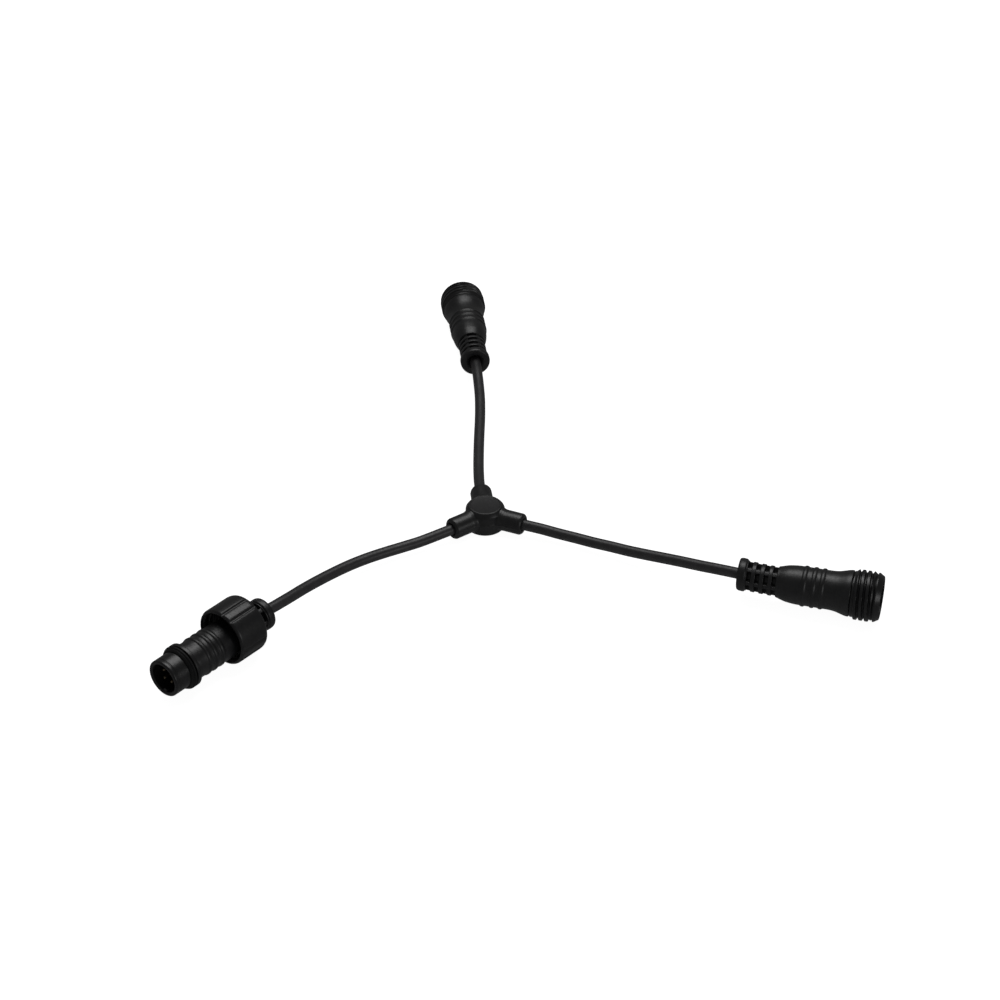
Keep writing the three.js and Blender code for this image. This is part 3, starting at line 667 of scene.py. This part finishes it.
def add_junction():
    seam = 0.07
    drum = make("junction_body", [turned(rounded([
        (0, 0), (0, 6.75, 0.3), (0.45, JUNCTION_RADIUS, 0.3), (OUTLET_HEIGHT - 0.22, JUNCTION_RADIUS),
        (OUTLET_HEIGHT - 0.1, JUNCTION_RADIUS + seam, 0.05),
        (OUTLET_HEIGHT + 0.1, JUNCTION_RADIUS + seam, 0.05),
        (OUTLET_HEIGHT + 0.22, JUNCTION_RADIUS), (7.75, JUNCTION_RADIUS, 0.5), (8.8, 6.35, 0.4),
        (JUNCTION_HEIGHT, 5.9, 0.22), (JUNCTION_HEIGHT, 5.5, 0.15), (JUNCTION_HEIGHT - 0.16, 5.38, 0.1),
        (JUNCTION_HEIGHT - 0.16, 0),
    ]), even_angles(120))], Matrix.Identity(4), HUSK)

    def outlet_warp(station, radius, angle):
        """A fine parting line along both sides of the outlet, at mid height."""
        if radius > FAN_RADIUS + 0.05:
            off = min(abs(angle - math.pi / 2), abs(angle - 3 * math.pi / 2))
            radius += seam * ease(0.075, 0.03, off)
        return station, radius

    marks = [math.pi / 2 * k + d for k in (1, 3) for d in (-0.075, -0.052, -0.03, 0, 0.03, 0.052, 0.075)]
    around = sorted([a for a in even_angles(60) if all(abs(a - m) > 0.04 for m in marks)] + marks)
    outlets = [make("tool", [turned(rounded([
        (4.0, 0), (4.0, OUTLET_RADIUS + 0.5), (6.3, OUTLET_RADIUS + 0.45, 0.5), (7.6, OUTLET_RADIUS, 0.7),
        (OUTLET_REACH - 0.75, OUTLET_RADIUS, 0.4), (OUTLET_REACH, 3.35, 0.3), (OUTLET_REACH, 0),
    ]), around, outlet_warp)], outlet_frame(a), HUSK) for a in OUTLET_ANGLES.values()]
    boolean(drum, "UNION", outlets)
    bores = [make("tool", [turned([
        (0, 0), (0, FAN_RADIUS), (6.8, FAN_RADIUS), (9.0, CABLE_BORE), (OUTLET_REACH - 0.5, CABLE_BORE),
        (OUTLET_REACH + 0.1, CABLE_BORE + 0.5), (OUTLET_REACH + 1, CABLE_BORE + 0.6), (OUTLET_REACH + 1, 0),
    ], even_angles(40))], outlet_frame(a), HUSK) for a in OUTLET_ANGLES.values()]
    bores.append(make("tool", [turned([
        (0.8, 0), (0.8, HUB_RADIUS + GAP), (8.2, HUB_RADIUS + GAP), (8.2, 0),
    ], even_angles(64))], Matrix.Identity(4), HUSK))
    boolean(drum, "DIFFERENCE", bores, 35)
    finish(drum, "junction_black", "junction_body")


# ---------------------------------------------------------------- cables
def centripetal(points, steps):
    """Points of a centripetal Catmull-Rom curve through the route, as the CAD sweeps it."""
    route = [Vector(p) for p in points]
    ends = [route[0] * 2 - route[1], *route, route[-1] * 2 - route[-2]]
    out = []
    for p0, p1, p2, p3 in zip(ends, ends[1:], ends[2:], ends[3:]):
        d0, d1, d2 = (math.sqrt((b - a).length) for a, b in ((p0, p1), (p1, p2), (p2, p3)))
        t1 = ((p1 - p0) / d0 - (p2 - p0) / (d0 + d1) + (p2 - p1) / d1) * d1
        t2 = ((p2 - p1) / d1 - (p3 - p1) / (d1 + d2) + (p3 - p2) / d2) * d1
        for k in range(steps):
            t = k / steps
            out.append(
                p1 * (2 * t ** 3 - 3 * t * t + 1) + t1 * (t ** 3 - 2 * t * t + t)
                + p2 * (3 * t * t - 2 * t ** 3) + t2 * (t ** 3 - t * t)
            )
    return [*out, route[-1]]


def add_cable(name, route):
    path = centripetal(route, 9)
    sides = 36
    vertices, faces = [], []
    for i, point in enumerate(path):
        ahead = (path[min(i + 1, len(path) - 1)] - path[max(i - 1, 0)]).normalized()
        side = ahead.cross(UP).normalized()
        over = side.cross(ahead)
        for k in range(sides):
            angle = 2 * math.pi * k / sides
            vertices.append(point + (side * math.cos(angle) + over * math.sin(angle)) * CABLE_RADIUS)
    for i in range(len(path) - 1):
        for k in range(sides):
            a, b = i * sides + k, i * sides + (k + 1) % sides
            faces.append((a, b, b + sides, a + sides))
    for end, point in ((0, path[0]), ((len(path) - 1) * sides, path[-1])):
        middle = len(vertices)
        vertices.append(point)
        faces += [(end + k, end + (k + 1) % sides, middle) for k in range(sides)]
    cable = make(f"cable_{name}", [(vertices, faces)], Matrix.Identity(4), JACKET)
    finish(cable, "cable_jacket", f"cable_{name}")


for cable_name, cable_route in ROUTES.items():
    add_cable(cable_name, cable_route)
add_plug()
add_nut()
for socket_name, (socket_place, socket_bend) in SOCKETS.items():
    add_socket(socket_name, socket_place, socket_bend, -28 if socket_name == "socket_a" else 30)
add_junction()

# ---------------------------------------------------------------- pieces kept from the CAD
for node, part in frame["nodes"].items():
    look = None
    if "conductor" in node:
        look = CORES[int(node[-1]) - 1]
    elif node.startswith("splice"):
        look = TIN
    elif node == "junction_hub":
        look = HUB
    if look:
        part.data.materials.clear()
        part.data.materials.append(look)


# ---------------------------------------------------------------- floor and light
FLOOR_HALF = 3.0  # m
FLOOR_CLEARANCE = 0.00005  # m
LIGHTS = (  # name, place, what it points at, width, depth (m), power (W)
    ("key", (0.12, 0.48, 1.28), (0, 0, 0), 1.1, 0.75, 8.8),
    ("side", (0.78, -0.78, 0.28), (0.13, -0.07, 0.01), 0.35, 0.35, 1.1),
)


def add_floor():
    mesh = bpy.data.meshes.new("floor")
    corners = [(x * FLOOR_HALF, y * FLOOR_HALF, 0) for x, y in ((-1, -1), (1, -1), (1, 1), (-1, 1))]
    mesh.from_pydata(corners, [], [(0, 1, 2, 3)])
    floor = bpy.data.objects.new("floor", mesh)
    floor.location.z = -FLOOR_CLEARANCE
    bpy.context.scene.collection.objects.link(floor)
    material = bpy.data.materials.new("floor_white")
    material.use_nodes = True
    shader = material.node_tree.nodes["Principled BSDF"]
    shader.inputs["Base Color"].default_value = (0.42, 0.42, 0.42, 1)
    shader.inputs["Roughness"].default_value = 0.9
    shader.inputs["Specular IOR Level"].default_value = 0.1
    shader.inputs["Emission Color"].default_value = (1, 1, 1, 1)
    shader.inputs["Emission Strength"].default_value = 0.95
    mesh.materials.append(material)
    floor.visible_glossy = False


def add_light(name, at, aim, width, depth, power):
    data = bpy.data.lights.new(name, "AREA")
    data.shape = "RECTANGLE"
    data.size = width
    data.size_y = depth
    data.energy = power
    light = bpy.data.objects.new(name, data)
    light.location = at
    light.rotation_euler = (Vector(aim) - Vector(at)).to_track_quat("-Z", "Y").to_euler()
    bpy.context.scene.collection.objects.link(light)


def add_world():
    world = bpy.data.worlds.new("studio")
    world.use_nodes = True
    background = world.node_tree.nodes["Background"]
    background.inputs["Color"].default_value = (1, 1, 1, 1)
    background.inputs["Strength"].default_value = 0.125
    bpy.context.scene.world = world


add_floor()
for light in LIGHTS:
    add_light(*light)
add_world()
bpy.context.scene.view_settings.view_transform = "Standard"
